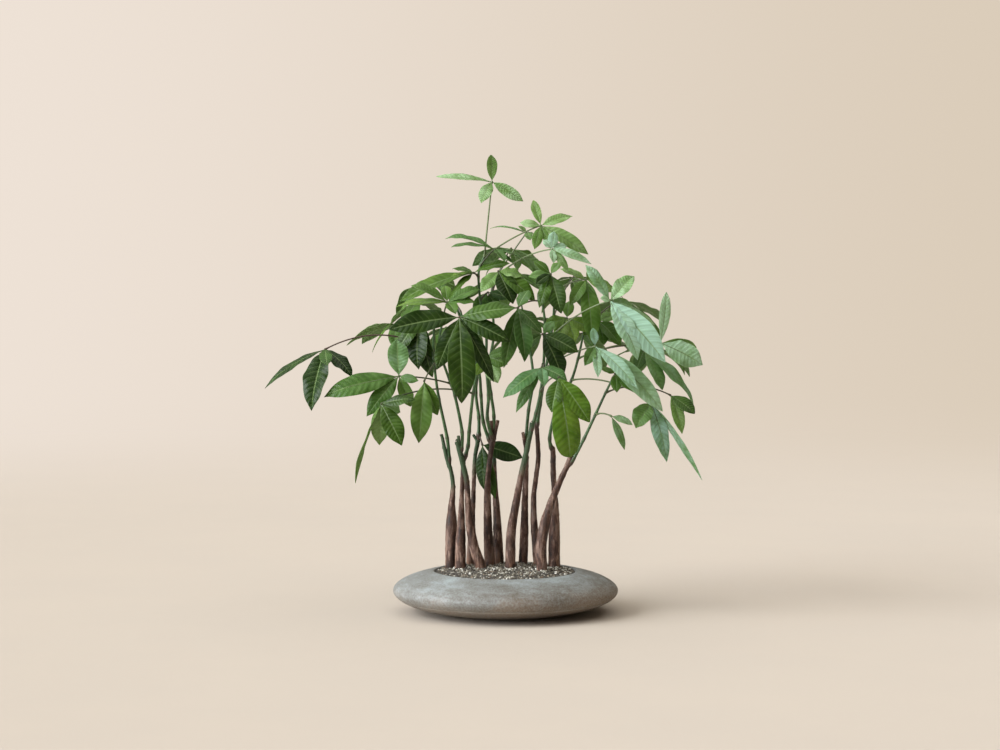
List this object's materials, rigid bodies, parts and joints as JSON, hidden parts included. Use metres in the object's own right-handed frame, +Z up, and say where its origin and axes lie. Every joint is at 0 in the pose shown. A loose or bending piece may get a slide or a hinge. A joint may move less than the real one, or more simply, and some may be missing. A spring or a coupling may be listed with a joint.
{
  "type": "potted money tree",
  "caption": "Grove of slim money tree trunks with palmate leaves, planted in gravel in a low round concrete dish planter.",
  "frame": {"origin": "centre of the planter's flat foot, on the surface it stands on", "axes": "+Z up along the planter's axis; the side seen in the picture faces -Y, with +X to its right"},
  "size_m": [0.742, 0.4965, 0.781],
  "materials": {
    "concrete": "matt cast concrete, blue-grey with paler and browner streaks and fine pits",
    "soil": "dark damp potting mix, out of sight under the gravel",
    "gravel": "mixed beige, grey and dark grit of 3 to 5 mm",
    "bark": "thin grey-brown bark with pale specks, redder at the foot and green at the top",
    "foliage": "green stems and leaf stalks, satin leaflets with a pale rib, paler underneath"
  },
  "bodies": {
    "root": {"planter": "concrete", "soil": "soil", "gravel": "gravel", "trunk_01": "bark", "trunk_02": "bark", "trunk_03": "bark", "trunk_04": "bark", "trunk_05": "bark", "trunk_06": "bark", "trunk_07": "bark", "trunk_08": "bark", "trunk_09": "bark", "trunk_10": "bark", "trunk_11": "bark", "shoot_left": "foliage", "shoot_left_front": "foliage", "shoot_front": "foliage", "shoot_rear_left": "foliage", "shoot_middle": "foliage", "shoot_tall": "foliage", "shoot_centre": "foliage", "shoot_right_front": "foliage", "shoot_rear_right": "foliage", "shoot_rear": "foliage", "shoot_right": "foliage", "shoot_right_low": "foliage"}
  },
  "joints": []
}
